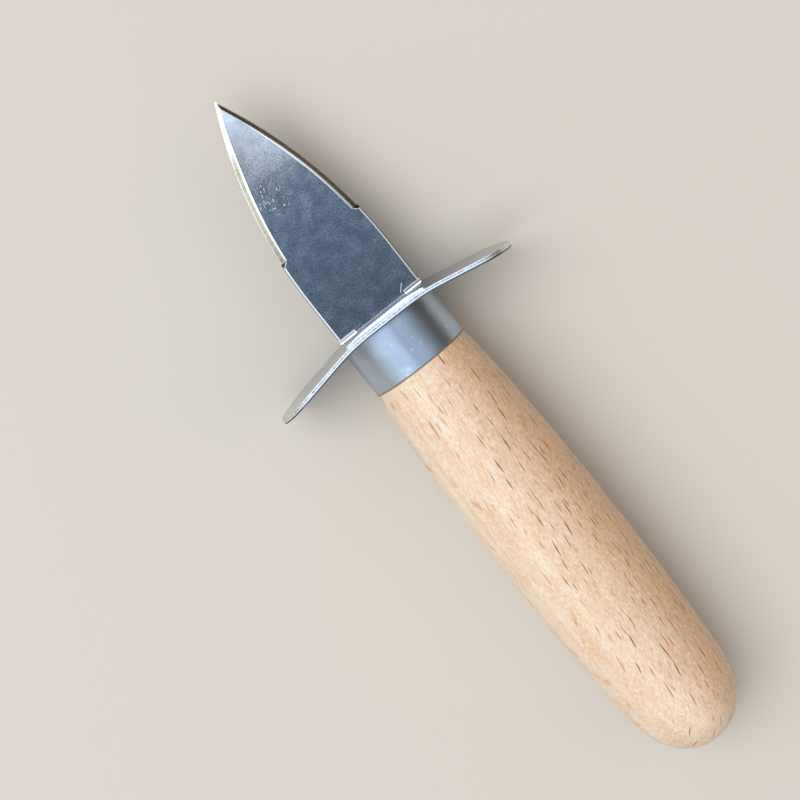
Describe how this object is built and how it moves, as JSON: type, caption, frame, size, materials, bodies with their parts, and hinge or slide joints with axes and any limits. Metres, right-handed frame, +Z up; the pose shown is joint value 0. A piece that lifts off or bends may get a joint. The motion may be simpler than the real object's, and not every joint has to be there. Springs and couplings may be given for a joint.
{
  "type": "oyster knife",
  "caption": "Oyster knife with a short bevelled leaf blade, a swept hand guard, a plain ferrule and a turned beech handle, for prising shells open.",
  "frame": {"origin": "on the level of the guard's lowest edge, below the middle of the knife's length and width", "axes": "+Y along the knife towards the tip of the blade, +X across the width of the blade and guard, +Z up, square to the flat of the blade"},
  "size_m": [0.0556, 0.1583, 0.0258],
  "materials": {
    "blade_steel": "fine grained mill finish with ground bevels",
    "guard_steel": "polished faces, sheared rim",
    "ferrule_steel": "satin",
    "beech": "satin varnish",
    "resin": "cured, hidden"
  },
  "bodies": {
    "root": {"blade": "blade_steel", "guard": "guard_steel", "ferrule": "ferrule_steel", "handle": "beech", "tang_resin": "resin"}
  },
  "joints": []
}
